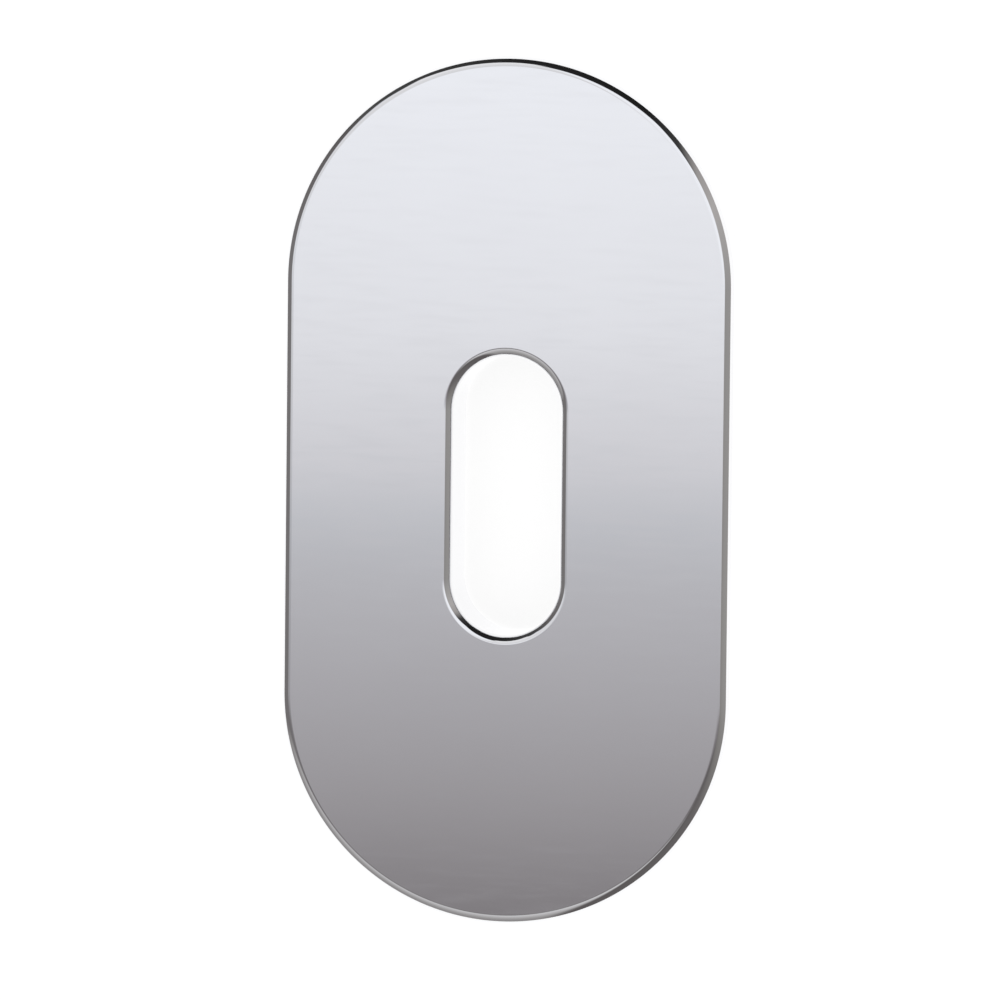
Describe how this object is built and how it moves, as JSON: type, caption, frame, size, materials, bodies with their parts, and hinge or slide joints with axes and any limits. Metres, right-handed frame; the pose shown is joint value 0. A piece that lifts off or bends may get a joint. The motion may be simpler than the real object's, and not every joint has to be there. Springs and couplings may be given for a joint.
{
  "type": "keyhole escutcheon",
  "caption": "Flat obround escutcheon plate, polished, with rounded front edges and a central through slot that guards and frames a keyhole.",
  "frame": {"origin": "Middle of the flat back face, which lies on or against the surface that carries the plate, on the long centre line, 0.3 mm above the middle of the key slot.", "axes": "+Z is the outward normal of the front face, +Y runs along the plate's length and the slot's length to the head, which is up when it is fitted, +X across them."},
  "size_m": [0.0316, 0.06, 0.005],
  "materials": {
    "polished_chrome": "polished"
  },
  "bodies": {
    "root": {"escutcheon_plate": "polished_chrome"}
  },
  "joints": []
}
